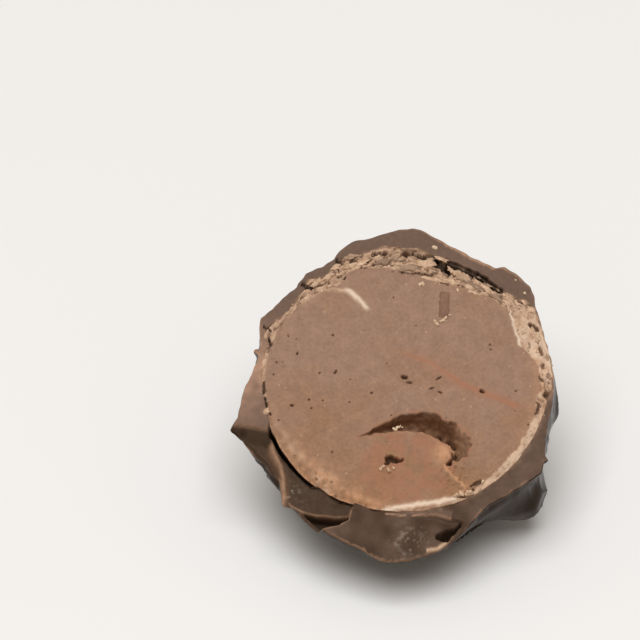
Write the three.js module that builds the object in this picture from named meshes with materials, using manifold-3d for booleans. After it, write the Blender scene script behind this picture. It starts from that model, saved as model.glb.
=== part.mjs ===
// Half of a hand-dipped chocolate truffle: a ball of ganache in a thick, uneven dark coating, cut through the
// middle and lying on its rounded back with the cut face tilted up towards the front.
//
// Millimetres and degrees. The truffle is shaped in its own frame, whose origin is the middle of the cut face:
// x runs right across the face, y up the face and z out of it. The half itself is the side where z is below 0.
// A place on its outside is told by two angles: "around", counted from x towards y, and "depth", counted from
// the cut face back to the deepest point of the dome. The finished half is leaned over and set down on its foot.
import * as THREE from "three";
import { mergeVertices } from "three/addons/utils/BufferGeometryUtils.js";
import Module from "manifold-3d";

const faceLean = 28; // how far the cut face is tipped forward from lying level
const ganacheGap = 0.3; // between the ganache and the coating round it
const cavityWidth = 13.5; // radius of the hollow across the face
const cavityDepth = 13.0; // and from the face back
const cavityRise = 0.6; // the ganache sits this far above the middle of the coating
const coatThickness = 0.85; // the thinnest coating, between the lumps
const footFlat = 1.2; // height taken off the underside, where the coating set against the table

// Swells of thick coating: where the middle of each lies, how high it stands and how far it spreads each way.
const lumps = [
  { name: "crown", around: 94, depth: 0, height: 1.45, wide: 16, deep: 30 },
  { name: "shoulder", around: 46, depth: 0, height: 1.1, wide: 10, deep: 22 },
  { name: "temple", around: 153, depth: 4, height: 0.8, wide: 9, deep: 18 },
  { name: "horn", around: -165, depth: 2, height: 1.6, wide: 5, deep: 14 },
  { name: "cheek", around: -156, depth: 6, height: 1.7, wide: 11, deep: 22 },
  { name: "heel", around: -121, depth: 4, height: 2.2, wide: 17, deep: 18 },
  { name: "toe", around: -89, depth: 0, height: 3.8, wide: 24, deep: 17 },
  { name: "lip", around: -34, depth: 0, height: 1.4, wide: 10, deep: 14 },
  { name: "flange", around: -40, depth: 23, height: 2.9, wide: 16, deep: 12 },
  { name: "flank", around: -10, depth: 20, height: 0.8, wide: 16, deep: 12 },
  { name: "sole", around: -80, depth: 38, height: 2.0, wide: 17, deep: 13 },
  { name: "seat", around: -90, depth: 79, height: 1.2, wide: 34, deep: 24 },
];

// The outer edge of the cut section: how far it reaches at some places round the face. The swells above only
// shape the coating behind it.
const outline = [
  [-179, 15.1], [-174, 15.5], [-168, 16.1], [-164.6, 16.75], [-161.5, 16.1], [-155, 15.7], [-150.5, 15.1],
  [-141.5, 15.05], [-138, 15.7], [-134.4, 16.45], [-130, 15.9], [-125, 16.4], [-118, 16.7], [-111, 16.95],
  [-104, 17.25], [-97.4, 18.1], [-92.4, 18.15], [-86, 17.75], [-79.3, 17.3], [-72.5, 16.45], [-68, 15.8],
  [-63, 15.05], [-57.4, 14.65], [-50, 14.8], [-42, 15.2], [-34.8, 15.75], [-30, 15.4], [-22.4, 14.45],
  [-15, 14.15], [18, 14.2], [24.2, 14.4], [33.4, 15.0], [39.7, 15.75], [47, 15.8], [52, 15.6], [54.2, 15.0],
  [62.7, 14.8], [72, 15.1], [80.4, 15.8], [84.5, 16.3], [94.6, 16.0], [101.8, 15.6], [107.7, 15.7],
  [113.5, 15.25], [116.5, 14.7], [122.4, 14.55], [129, 14.85], [135, 14.4], [147.6, 14.75], [152.9, 15.25],
  [157, 14.95], [165, 14.1], [170, 14.15], [176, 14.5], [181, 15.1],
];

// Scallops: the shallow bowls with crests between them that fingers leave when they roll the wet coating.
const scallops = { cells: 22, rise: 1.5, twist: 55, stretch: 1.5, fadeFrom: 5, fadeTo: 28 };

// The coating broke away below the cut along this stretch instead of being sliced.
const fracture = { from: -159, to: -121, drop: 1.5 };

// The curved tear that the knife opened in the ganache, between an outer and an inner arc.
const tear = {
  outer: { x: 1.0, y: -8.2, radius: 5.6, from: 150, to: -22 },
  inner: { x: 0.5, y: -8.5, radius: 4.2, from: -16, to: 144 },
  deep: 1.5,
};

const aroundSteps = 96; // facets round the outside
const depthSteps = 46; // and from pole to pole
const innerAroundSteps = 60;
const innerDepthSteps = 28;
const beyond = 40; // half the size of the blocks that cut the ball: larger than the truffle

const wasm = await Module();
wasm.setup();

const radians = THREE.MathUtils.degToRad;
const degrees = THREE.MathUtils.radToDeg;

// The geometry as a manifold-3d solid.
function solidOf(geometry) {
  const bare = geometry.clone();
  bare.deleteAttribute("normal");
  bare.deleteAttribute("uv");
  const merged = mergeVertices(bare, 1e-4);
  return new wasm.Manifold(
    new wasm.Mesh({
      numProp: 3,
      vertProperties: new Float32Array(merged.attributes.position.array),
      triVerts: new Uint32Array(merged.index.array),
    }),
  );
}

function geometryOf(solid) {
  const mesh = solid.getMesh();
  const geometry = new THREE.BufferGeometry();
  geometry.setAttribute("position", new THREE.BufferAttribute(mesh.vertProperties, 3));
  geometry.setIndex(new THREE.BufferAttribute(mesh.triVerts, 1));
  geometry.computeVertexNormals();
  return geometry;
}

// A ball whose poles lie on z, with each vertex moved out to reach(direction).
function ball(reach, around, depth) {
  const geometry = new THREE.SphereGeometry(1, around, depth).rotateX(Math.PI / 2);
  const position = geometry.attributes.position;
  const direction = new THREE.Vector3();
  for (let i = 0; i < position.count; i++) {
    direction.fromBufferAttribute(position, i).normalize();
    const far = reach(direction);
    position.setXYZ(i, direction.x * far, direction.y * far, direction.z * far);
  }
  return solidOf(geometry);
}

// How far the hollow reaches from the middle of the face, along a direction: an ellipsoid raised by cavityRise.
function cavityReach(direction, inset = 0) {
  const wide = cavityWidth - inset;
  const deep = cavityDepth - inset;
  const ray = new THREE.Vector3(direction.x / wide, direction.y / wide, direction.z / deep);
  const along = (ray.y * cavityRise) / wide;
  const square = ray.lengthSq();
  return (along + Math.sqrt(along ** 2 + square * (1 - (cavityRise / wide) ** 2))) / square;
}

function lumpHeight(around, depth) {
  let height = 0;
  for (const lump of lumps) {
    const turn = THREE.MathUtils.euclideanModulo(around - lump.around + 180, 360) - 180;
    const sideways = (turn * Math.cos(radians(depth))) / lump.wide;
    const back = (depth - lump.depth) / lump.deep;
    height += lump.height * Math.exp(-(sideways ** 2) - back ** 2);
  }
  return height;
}

// The middle of each scallop: a spiral of points spread evenly over a ball that is longer one way.
const scallopMiddles = Array.from({ length: scallops.cells }, (_, i) => {
  const z = 1 - (2 * (i + 0.5)) / scallops.cells;
  const turn = i * Math.PI * (3 - Math.sqrt(5));
  const across = Math.sqrt(1 - z * z);
  return new THREE.Vector3(across * Math.cos(turn) * scallops.stretch, across * Math.sin(turn), z);
});

// From 0 in the middle of a scallop to about 1 on the crest between two.
function scallopHeight(direction, depth) {
  const turned = direction
    .clone()
    .applyAxisAngle(new THREE.Vector3(0, 0, 1), radians((scallops.twist * depth) / 90));
  turned.x = turned.x * scallops.stretch + 0.12 * Math.sin(3 * turned.y + 1);
  turned.y += 0.12 * Math.sin(3 * turned.z + 2);
  const nearest = Math.min(...scallopMiddles.map((middle) => middle.distanceToSquared(turned)));
  const spacing = (4 * Math.PI * scallops.stretch) / scallops.cells;
  return Math.min(1, nearest / (0.5 * spacing));
}

function outlineReach(around) {
  const turn = around < outline[0][0] ? around + 360 : around;
  const next = outline.findIndex((row) => row[0] > turn);
  const [[fromTurn, fromReach], [toTurn, toReach]] = [outline[next - 1], outline[next]];
  return THREE.MathUtils.mapLinear(turn, fromTurn, toTurn, fromReach, toReach);
}

function coatReach(direction) {
  const around = degrees(Math.atan2(direction.y, direction.x));
  const depth = degrees(Math.asin(THREE.MathUtils.clamp(-direction.z, -1, 1)));
  const fade = THREE.MathUtils.smoothstep(depth, scallops.fadeFrom, scallops.fadeTo);
  const scallop = scallops.rise * fade * scallopHeight(direction, depth);
  const swollen = cavityReach(direction) + coatThickness + lumpHeight(around, depth) + scallop;
  const rim = new THREE.Vector3(Math.cos(radians(around)), Math.sin(radians(around)), 0);
  const plain = cavityReach(rim) + coatThickness + lumpHeight(around, 0);
  return swollen + (outlineReach(around) - plain) * (1 - THREE.MathUtils.smoothstep(depth, 4, 26));
}

// Everything behind the cut face, as one block.
function behindFace() {
  return solidOf(new THREE.BoxGeometry(2 * beyond, 2 * beyond, beyond).translate(0, 0, -beyond / 2));
}

// Everything above the table, for a solid that already stands upright.
function aboveTable(height) {
  return solidOf(new THREE.BoxGeometry(2 * beyond, 2 * beyond, 2 * beyond).translate(0, 0, beyond + height));
}

// A shallow block under the face, over a flat outline.
function blockUnder(shape, deep) {
  const geometry = new THREE.ExtrudeGeometry(shape, { depth: deep + 1, bevelEnabled: false, curveSegments: 24 });
  return solidOf(geometry.translate(0, 0, -deep));
}

// The sector of the rim where the coating is broken off lower than the cut.
function fractureBlock() {
  const shape = new THREE.Shape();
  shape.absarc(0, 0, 2 * cavityWidth, radians(fracture.from), radians(fracture.to), false);
  shape.lineTo(0, 0);
  return blockUnder(shape, fracture.drop);
}

function tearBlock() {
  const shape = new THREE.Shape();
  const { outer, inner } = tear;
  shape.absarc(outer.x, outer.y, outer.radius, radians(outer.from), radians(outer.to), true);
  shape.absarc(inner.x, inner.y, inner.radius, radians(inner.from), radians(inner.to), false);
  return blockUnder(shape, tear.deep);
}

// The coating, still in the truffle's own frame, with its hollow and its broken rim.
function makeCoating() {
  const outside = ball(coatReach, aroundSteps, depthSteps);
  const hollow = ball((direction) => cavityReach(direction), innerAroundSteps, innerDepthSteps);
  return outside.intersect(behindFace()).subtract(hollow).subtract(fractureBlock());
}

function makeGanache() {
  const whole = ball((direction) => cavityReach(direction, ganacheGap), innerAroundSteps, innerDepthSteps);
  return whole.intersect(behindFace()).subtract(tearBlock());
}

// Leans a solid over, which brings the cut face up to the front.
function lean(solid) {
  return solidOf(geometryOf(solid).rotateX(radians(faceLean)));
}

const leaningCoating = lean(makeCoating());
const leaningGanache = lean(makeGanache());
const table = leaningCoating.boundingBox().min[2] + footFlat;
const coatingSolid = leaningCoating.intersect(aboveTable(table));

// The middle of the coating's base goes to the origin.
const box = coatingSolid.boundingBox();
const middleX = (box.min[0] + box.max[0]) / 2;
const middleY = (box.min[1] + box.max[1]) / 2;

const darkChocolate = new THREE.MeshStandardMaterial({ color: 0x3d2b22, roughness: 0.38, metalness: 0 });
const milkGanache = new THREE.MeshStandardMaterial({ color: 0x9e7b65, roughness: 0.8, metalness: 0 });

function piece(name, solid, material) {
  const mesh = new THREE.Mesh(geometryOf(solid), material);
  mesh.name = name;
  return mesh;
}

const truffle = new THREE.Group();
truffle.add(piece("coating", coatingSolid, darkChocolate));
truffle.add(piece("ganache", leaningGanache, milkGanache));
truffle.position.set(-middleX, -middleY, -table);

export default truffle;
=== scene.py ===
# Half of a hand-dipped chocolate truffle, cut face to the front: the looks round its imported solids.
import math
import random

import bmesh
import bpy
from mathutils import Euler, Matrix, Vector, noise


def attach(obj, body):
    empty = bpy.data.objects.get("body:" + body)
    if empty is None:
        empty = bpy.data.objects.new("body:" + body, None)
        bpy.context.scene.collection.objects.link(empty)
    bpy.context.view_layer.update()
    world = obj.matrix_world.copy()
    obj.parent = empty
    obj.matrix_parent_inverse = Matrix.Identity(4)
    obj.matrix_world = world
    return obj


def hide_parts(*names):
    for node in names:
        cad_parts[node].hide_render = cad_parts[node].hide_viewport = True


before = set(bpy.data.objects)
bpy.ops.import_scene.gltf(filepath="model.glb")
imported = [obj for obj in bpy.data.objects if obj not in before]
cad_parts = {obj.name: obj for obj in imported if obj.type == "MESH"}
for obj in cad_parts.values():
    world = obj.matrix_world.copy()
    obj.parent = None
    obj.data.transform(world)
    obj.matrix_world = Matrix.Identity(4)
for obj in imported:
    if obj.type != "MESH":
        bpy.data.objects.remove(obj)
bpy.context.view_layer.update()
mm = 0.001
print("frame loaded")


# --- Measures. Pieces are shaped in millimetres in the truffle's own frame: x runs right across the cut face,
# y up it and z out of it, from the middle of the face. "Around" is degrees from x towards y, "depth" is
# degrees back from the face towards the deepest point of the dome.

hollow = {"wide": 13.5, "deep": 13.0, "rise": 0.6}  # the room for the ganache inside the coating
lean = math.radians(28)  # the cut face is tipped forward by this much


def faceToRow():  # turns the truffle's own millimetres into the row's metres
    turn = Matrix.Rotation(lean, 4, "X")
    corners = [turn.inverted() @ vertex.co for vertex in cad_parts["ganache"].data.vertices]
    level = max(corner.z for corner in corners)
    rim = [corner for corner in corners if corner.z > level - 0.02 * mm]
    middle = [(min(c[i] for c in rim) + max(c[i] for c in rim)) / 2 for i in range(2)]
    centre = turn @ Vector((middle[0], middle[1] - hollow["rise"] * mm, level))
    return Matrix.Translation(centre) @ turn @ Matrix.Scale(mm, 4)


toRow = faceToRow()
tableLevel = (toRow.inverted() @ Vector((0, 0, 0))).copy()  # any point of the table, in the truffle's frame
tableUp = (toRow.inverted().to_3x3() @ Vector((0, 0, 1))).normalized()


def smooth(low, high, value):
    share = min(max((value - low) / (high - low), 0.0), 1.0)
    return share * share * (3 - 2 * share)


def bell(value, wide):
    return math.exp(-((value / wide) ** 2))


def turnFrom(around, middle):  # degrees from one heading to another, the short way
    return (around - middle + 180) % 360 - 180


def towards(around, middle, spread):  # 1 at one heading, fading to both sides of it
    return bell(turnFrom(around, middle), spread)


def ripple(x, y, z, seed=0.0):  # smooth noise, mostly between -1 and 1, with waves about 1 long
    return 1.6 * noise.noise(Vector((x + seed, y - seed, z + 0.37 * seed)))


def onFace(x, y, wide, seed):  # the same over the cut face, with waves about this wide
    return ripple(x / wide, y / wide, 0, seed)


def nearPath(path, x, y):  # distance to a chain of points, positive on its left, and the share of it passed
    best, side, passed = 1e9, 1.0, 0.0
    for i, ((ax, ay), (bx, by)) in enumerate(zip(path, path[1:])):
        dx, dy = bx - ax, by - ay
        share = min(max(((x - ax) * dx + (y - ay) * dy) / (dx * dx + dy * dy), 0.0), 1.0)
        offX, offY = x - ax - share * dx, y - ay - share * dy
        distance = math.hypot(offX, offY)
        if distance < best:
            best, passed = distance, (i + share) / (len(path) - 1)
            side = 1.0 if dx * (y - ay) - dy * (x - ax) > 0 else -1.0
    return best * side, passed


def toOutline(outline, x, y):  # distance to a closed outline, positive inside it
    best, inside = 1e9, False
    for (ax, ay), (bx, by) in zip(outline, outline[1:] + outline[:1]):
        dx, dy = bx - ax, by - ay
        share = min(max(((x - ax) * dx + (y - ay) * dy) / (dx * dx + dy * dy), 0.0), 1.0)
        best = min(best, math.hypot(x - ax - share * dx, y - ay - share * dy))
        if (ay > y) != (by > y) and x < ax + dx * (y - ay) / dy:
            inside = not inside
    return best if inside else -best


def readRound(rows, around):  # values given at some headings, read between them
    around = turnFrom(around, 0)
    for low, high in zip(rows, rows[1:] + ((rows[0][0] + 360, *rows[0][1:]),)):
        if low[0] <= around < high[0] or low[0] <= around + 360 < high[0]:
            turn = around if low[0] <= around else around + 360
            share = (turn - low[0]) / (high[0] - low[0])
            return [a + (b - a) * share for a, b in zip(low[1:], high[1:])]


def finishPiece(bm, name, material, replaced=None):  # the shaped mesh becomes a piece of the truffle
    bmesh.ops.transform(bm, matrix=toRow, verts=bm.verts)
    mesh = bpy.data.meshes.new(name)
    bm.to_mesh(mesh)
    bm.free()
    mesh.shade_smooth()
    mesh.materials.append(material)
    piece = bpy.data.objects.new(name, mesh)
    bpy.context.scene.collection.objects.link(piece)
    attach(piece, "root")
    if replaced:
        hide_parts(replaced)
    mesh.calc_loop_triangles()
    print(name, "has", len(mesh.loop_triangles), "triangles")


# --- Shader nodes

def addNode(tree, kind, inputs=None, **settings):
    made = tree.nodes.new(kind)
    for name, value in settings.items():
        setattr(made, name, value)
    for name, value in (inputs or {}).items():
        if isinstance(value, bpy.types.NodeSocket):
            tree.links.new(value, made.inputs[name])
        else:
            made.inputs[name].default_value = value
    return made


def mixColours(tree, share, low, high, blend="MIX"):
    mixed = addNode(tree, "ShaderNodeMix", {0: share, 6: low, 7: high}, data_type="RGBA", blend_type=blend)
    return mixed.outputs[2]


def maths(tree, operation, first, second=0.5, clamp=False):
    inputs = {0: first, 1: second}
    return addNode(tree, "ShaderNodeMath", inputs, operation=operation, use_clamp=clamp).outputs[0]


def times(tree, first, second, clamp=False):
    return maths(tree, "MULTIPLY", first, second, clamp)


def stretched(tree, value, low, high, toLow=0.0, toHigh=1.0):
    inputs = {"Value": value, "From Min": low, "From Max": high, "To Min": toLow, "To Max": toHigh}
    return addNode(tree, "ShaderNodeMapRange", inputs, interpolation_type="SMOOTHSTEP").outputs[0]


def mark(tree, name):  # a mask painted on the piece's vertices
    return addNode(tree, "ShaderNodeAttribute", attribute_name=name, attribute_type="GEOMETRY").outputs["Fac"]


def inMillimetres(tree):  # object coordinates as millimetres in the truffle's own frame
    back = toRow.inverted()
    place = addNode(tree, "ShaderNodeTexCoord").outputs["Object"]
    turned = addNode(tree, "ShaderNodeMapping", {"Vector": place}, vector_type="POINT")
    turned.inputs["Location"].default_value = back.to_translation()
    turned.inputs["Rotation"].default_value = (-lean, 0, 0)
    turned.inputs["Scale"].default_value = (1 / mm, 1 / mm, 1 / mm)
    return turned.outputs[0]


def newGroup(name, inputs, outputs):
    group = bpy.data.node_groups.new(name, "ShaderNodeTree")
    for label, kind, value in inputs:
        socket = group.interface.new_socket(label, in_out="INPUT", socket_type=kind)
        if value is not None:
            socket.default_value = value
    for label, kind in outputs:
        group.interface.new_socket(label, in_out="OUTPUT", socket_type=kind)
    return group, group.nodes.new("NodeGroupInput").outputs, group.nodes.new("NodeGroupOutput").inputs


def makeMottle():  # soft uneven patches, 0 to 1
    sockets = [
        ("Vector", "NodeSocketVector", None),
        ("Size", "NodeSocketFloat", 1.0),
        ("Contrast", "NodeSocketFloat", 0.5),
    ]
    group, given, result = newGroup("mottle", sockets, [("Value", "NodeSocketFloat")])
    scale = maths(group, "DIVIDE", 1.0, given["Size"])
    inputs = {"Vector": given["Vector"], "Scale": scale, "Detail": 3.0, "Roughness": 0.55}
    cloudy = addNode(group, "ShaderNodeTexNoise", inputs).outputs[0]
    low = maths(group, "SUBTRACT", 0.5, times(group, 0.25, given["Contrast"]))
    high = maths(group, "ADD", 0.5, times(group, 0.25, given["Contrast"]))
    inputs = {"Value": cloudy, "From Min": 0.3, "From Max": 0.7, "To Min": low, "To Max": high}
    group.links.new(addNode(group, "ShaderNodeMapRange", inputs).outputs[0], result["Value"])
    return group


def makeSpecks():  # small round specks of uneven size, at most one to a cell
    sockets = [
        ("Vector", "NodeSocketVector", None),
        ("Spacing", "NodeSocketFloat", 1.0),
        ("Radius", "NodeSocketFloat", 0.1),
        ("Share", "NodeSocketFloat", 0.5),
    ]
    group, given, result = newGroup("specks", sockets, [("Mask", "NodeSocketFloat")])
    scale = maths(group, "DIVIDE", 1.0, given["Spacing"])
    cells = addNode(group, "ShaderNodeTexVoronoi", {"Vector": given["Vector"], "Scale": scale})
    chance = addNode(group, "ShaderNodeSeparateColor", {0: cells.outputs["Color"]})
    kept = maths(group, "LESS_THAN", chance.outputs[0], given["Share"])
    radius = times(group, given["Radius"], maths(group, "ADD", chance.outputs[1], 0.5))
    radius = maths(group, "DIVIDE", radius, given["Spacing"])
    away = maths(group, "DIVIDE", cells.outputs["Distance"], radius)
    inside = maths(group, "SUBTRACT", 1.0, away, clamp=True)
    soft = times(group, inside, 2.5, clamp=True)
    group.links.new(times(group, soft, kept), result["Mask"])
    return group


mottle = makeMottle()
specks = makeSpecks()


def useGroup(tree, group, **inputs):
    return addNode(tree, "ShaderNodeGroup", inputs, node_tree=group).outputs[0]


def crumbColour(tree, place):  # pale tan, torn and dry, with browner patches
    patches = useGroup(tree, mottle, Vector=place, Size=0.8, Contrast=1.8)
    return mixColours(tree, patches, (0.46, 0.28, 0.17, 1), (0.80, 0.56, 0.385, 1))


def newMaterial(name, roughness, shine):
    material = bpy.data.materials.new(name)
    material.use_nodes = True
    shader = material.node_tree.nodes["Principled BSDF"]
    shader.inputs["Roughness"].default_value = roughness
    shader.inputs["Specular IOR Level"].default_value = shine
    return material, material.node_tree, shader


def bumped(tree, height, distance):
    return addNode(tree, "ShaderNodeBump", {"Height": height, "Distance": distance * mm}).outputs[0]


# --- The torn joint between the ganache and its coating, which both pieces share

joint = {
    # round the face: degrees, where the clean cut of the ganache ends and where the coating starts, both from
    # the middle of the ganache
    "rows": (
        (-180, 13.2, 13.5), (-170, 13.2, 13.4), (-160, 13.45, 13.5), (-66, 13.4, 13.5), (-56, 12.95, 13.5),
        (-42, 12.7, 13.5), (-20, 12.8, 13.6), (-8, 12.75, 13.7), (-3, 12.95, 14.1), (6, 12.85, 14.0),
        (11, 12.3, 14.0), (17, 11.8, 13.95), (24, 11.8, 14.05), (31, 12.0, 14.4), (35, 12.3, 14.2),
        (38, 12.2, 13.5), (44, 11.9, 13.1), (52, 11.4, 12.95), (62, 10.9, 13.0), (72, 10.6, 13.05),
        (80, 10.6, 13.2), (83, 11.1, 13.45), (90, 11.3, 13.6), (97, 11.7, 13.9), (102, 11.9, 13.7),
        (107, 12.15, 13.45), (112, 12.3, 13.6), (116, 12.3, 13.9), (119, 11.7, 13.3), (123, 11.6, 13.0),
        (127, 12.0, 13.1), (131, 12.1, 13.7), (136, 12.4, 13.2), (142, 12.6, 12.95), (150, 12.9, 13.1),
        (157, 12.9, 13.9), (160, 13.0, 13.4), (170, 13.1, 13.4),
    ),
    # open cracks: half width, depth, then the points they run through
    "cracks": (
        (0.20, 1.2, (-2.9, 13.65), (-2.0, 13.8), (-1.1, 13.6)),
        (0.30, 1.6, (0.0, 13.65), (0.9, 13.6), (1.9, 13.25)),
        (0.42, 1.5, (1.9, 13.2), (3.0, 13.0), (3.9, 12.4), (4.2, 11.95)),
        (0.32, 1.3, (4.25, 12.7), (5.8, 11.95), (7.5, 11.1), (9.2, 9.85)),
        (0.10, 0.6, (-1.2, 11.8), (0.8, 11.7), (2.9, 11.4), (3.7, 10.65), (5.0, 10.3)),
        (0.20, 0.9, (-6.3, 13.0), (-5.9, 12.6)),
        (0.17, 0.8, (-5.0, 12.9), (-4.2, 12.65)),
        (0.13, 0.6, (-6.2, 11.4), (-5.6, 11.15)),
        (0.10, 0.5, (-4.4, 12.25), (-3.6, 12.15)),
        (0.17, 0.4, (-9.5, 10.5), (-8.7, 10.1)),
        (0.13, 0.3, (-13.2, 6.0), (-12.7, 5.7)),
        (0.12, 0.5, (-12.8, 4.7), (-12.65, 4.2)),
        (0.13, 0.6, (-13.35, 0.2), (-13.3, -0.8)),
        (0.18, 0.7, (-13.2, -1.3), (-13.1, -2.3)),
        (0.12, 0.4, (-12.65, -2.8), (-12.5, -3.1)),
        (0.22, 0.7, (12.1, 6.3), (12.6, 5.8)),
        (0.13, 0.5, (12.9, 3.9), (13.1, 3.2)),
        (0.13, 0.5, (13.2, 2.1), (13.35, 1.7)),
        (0.07, 0.4, (12.8, 0.9), (13.7, 0.1)),
        (0.28, 0.9, (13.55, -1.0), (13.75, -1.3)),
        (0.16, 0.5, (12.7, -1.9), (12.5, -2.8)),
        (0.07, 0.3, (10.8, 8.8), (11.4, 8.6), (12.2, 8.25)),
        (0.09, 0.3, (11.3, -7.0), (11.9, -6.3)),
        (0.16, 0.35, (6.4, -10.3), (7.2, -10.0)),
        (0.12, 0.3, (6.1, -10.9), (6.5, -10.7)),
        (0.08, 0.5, (5.0, -11.5), (6.3, -11.3)),
    ),
}


def jointAt(around):
    clean, start = readRound(joint["rows"], around)
    clean += 0.10 * ripple(around / 5, 0, 0, 2) + 0.07 * ripple(around / 1.6, 0, 0, 3)
    return clean, start + 0.05 * ripple(around / 4, 0, 0, 5)


def tornJoint(x, y, around, far, clean, start):  # height and masks of the flaky joint and its cracks
    tornWide = max(start - clean, 0.12)
    share = (far - clean) / tornWide
    inZone = smooth(-0.1, 0.12, share * tornWide)
    inZone *= smooth(0.16, 0.0, far - start + 0.1 * onFace(x, y, 0.4, 6))
    calm = max(towards(around, 10, 24), towards(around, -36, 28))  # smoother, paler stretches
    z, dark, crack = 0.0, 0.0, 0.0
    if inZone > 0:
        along = math.radians(around) * 13
        plates = ripple(along / 1.7, far / 0.34, 0, 21) + 0.55 * ripple(along / 0.6, far / 0.2, 0, 22)
        plates = 0.35 * plates + 0.65 * math.floor(plates * 2) / 2
        z = (0.20 * plates - 0.10) * min(1.0, 0.35 + tornWide / 1.6) * (1 - 0.6 * calm)
        dark = bell(ripple(along / 1.3, far / 0.36, 3, 24), 0.09)
        dark *= smooth(0.1, 0.5, onFace(x, y, 1.1, 29) + 0.35)
        dark = max(dark, 0.8 * smooth(0.5, 0.8, ripple(x / 0.35, y / 0.35, 5, 25)))
        dark *= 1 - 0.75 * calm
        z -= 0.35 * dark
    if far > 12.0 or (far > 10 and (around > 0 or -75 < around < -65)) or (x > 4 and y < -9):
        wx = x + 0.13 * onFace(x, y, 0.5, 26) + 0.05 * onFace(x, y, 0.2, 28)
        wy = y + 0.13 * onFace(x, y, 0.5, 27)
        for half, deep, *points in joint["cracks"]:
            if abs(wx - points[0][0]) < 5.5 and abs(wy - points[0][1]) < 4:
                off, _ = nearPath(points, wx, wy)
                near = smooth(1.2, 0.75, abs(off) / half)
                z -= deep * near
                crack = max(crack, near)
    tan = inZone * (0.75 + 0.35 * onFace(x, y, 0.7, 30))
    # The hollow mask here is painted shade: darker in the cracks and dark gaps of the joint.
    shaded = max(0.75 * dark * inZone, (0.9 - 0.35 * calm) * crack)
    paler = calm - 0.35 * towards(around, -36, 28)
    smearAndHighlight = inZone * paler * smooth(-0.9, 0.5, onFace(x, y, 0.8, 31)) * (1 - crack)
    masks = {"crumb": max(0.0, min(1.0, tan)), "hollow": shaded, "smearAndHighlight": smearAndHighlight}
    return z * max(inZone, crack), masks


# --- The coating: a thick dark chocolate shell with its cut section and its broken rim

coat = {
    "thin": 0.85,  # the coating between the swells
    "least": 0.3,  # and where a fold cuts into it
    "lumps": {  # swells of thick coating: around, depth, height, and how far each way it spreads
        "crown": (94, 0, 1.45, 16, 30),
        "shoulder": (46, 0, 1.1, 10, 22),
        "temple": (153, 4, 0.8, 9, 18),
        "horn": (-165, 2, 1.6, 5, 14),
        "cheek": (-156, 6, 1.7, 11, 22),
        "heel": (-121, 4, 2.2, 17, 18),
        "toe": (-89, 0, 3.8, 24, 17),
        "lip": (-34, 0, 1.4, 10, 14),
        "flange": (-40, 23, 2.9, 16, 12),
        "flank": (-3, 19, 0.8, 16, 12),
        "sole": (-80, 38, 2.0, 17, 13),
        "seat": (-90, 79, 1.2, 34, 24),
    },
    "cells": 22,  # finger scallops over the whole ball
    "rise": 1.5,
    "twist": 55,
    "stretch": 1.5,
    "fade": (5, 28),
    # the outer edge of the cut section, from the middle of the face: degrees and reach
    "outline": (
        (-179, 15.1), (-174, 15.5), (-168, 16.1), (-164.4, 17.15), (-161.5, 16.1), (-155, 15.7),
        (-150.5, 15.1), (-146, 15.15), (-141.5, 15.05), (-138, 15.7), (-134.4, 16.45), (-130, 15.9),
        (-125, 16.4), (-118, 16.7), (-111, 16.95), (-104, 17.25), (-97.4, 18.1), (-92.4, 18.15),
        (-86, 17.75), (-79.3, 17.3), (-72.5, 16.45), (-68, 15.8), (-63, 15.05), (-57.4, 14.65),
        (-50, 14.8), (-42, 15.2), (-34.8, 15.75), (-30.9, 15.35), (-29.7, 15.65), (-28.6, 15.1),
        (-22.4, 14.45), (-15, 14.15), (-5, 14.15), (2, 14.25), (10, 14.2), (18, 14.2), (24.2, 14.4),
        (33.4, 15.0), (36.5, 15.5), (39.7, 15.75), (47, 15.8), (52, 15.6), (54.2, 15.0), (62.7, 14.8),
        (72, 15.1), (80.4, 15.8), (84.5, 16.3), (87, 16.35), (94.6, 16.0), (101.8, 15.6), (107.7, 15.7),
        (113.5, 15.25), (116.5, 14.7), (122.4, 14.55), (129, 14.85), (135, 14.4), (147.6, 14.75),
        (152.9, 15.25), (157, 14.95), (160, 14.55), (164.6, 14.15), (165.9, 14.8), (167.2, 14.1),
        (170, 14.15), (176, 14.5),
    ),
    "aroundSteps": 640,
    "outerRings": 88,
    "sectionRings": 34,
    "innerRings": 8,
    "crowding": 0.32,  # more facets low on the face, where the section is widest
    "crest": 0.28,  # height of the thin ridge along the crests between scallops
    "rounding": 0.55,
    "fold": 0.9,
    "outsideColours": ((0.016, 0.0080, 0.0045, 1), (0.029, 0.0148, 0.0086, 1)),
    "cutColours": ((0.135, 0.082, 0.058, 1), (0.185, 0.118, 0.087, 1)),
    "backSwirl": (95, 62, 0.95),  # the swirled folds of the back: middle, how far round they spread, height
    # where the coating broke off below the cut, at the left
    "breakLine": ((-12.0, -4.45), (-13.0, -4.5), (-14.4, -4.15), (-15.8, -4.0), (-17.5, -4.1)),
    "tongue": ((-4.4, -11.2), (-5.1, -12.8), (-5.35, -13.8), (-6.2, -14.3), (-7.9, -14.75), (-9.5, -17.5)),
    "ridge": ((-12.7, -5.6), (-12.5, -6.5), (-11.75, -8.1), (-11.5, -9.4), (-11.4, -10.9), (-11.6, -11.9)),
    "ledge": ((-11.4, -11.2), (-10.6, -11.85), (-9.4, -12.45), (-8.2, -12.85), (-6.6, -13.05), (-4.8, -13.0)),
    # a bubble low in the section, and the chipped sliver beside it
    "bubble": (
        (3.0, -15.35), (3.6, -15.0), (4.5, -14.65), (5.4, -14.15), (5.2, -14.55), (4.5, -15.35),
        (4.0, -16.1), (3.1, -15.9),
    ),
    "sliver": ((2.0, -17.0), (3.15, -16.8), (3.8, -16.25), (4.6, -15.0)),
    "pleat": ((-2.0, -13.1), (-0.3, -13.3), (0.9, -13.3), (3.0, -13.2), (4.5, -13.7)),
    "bloom": (0.75, -16.3, 1.45),  # a ring of grey bloom: x, y, radius
}


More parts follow.
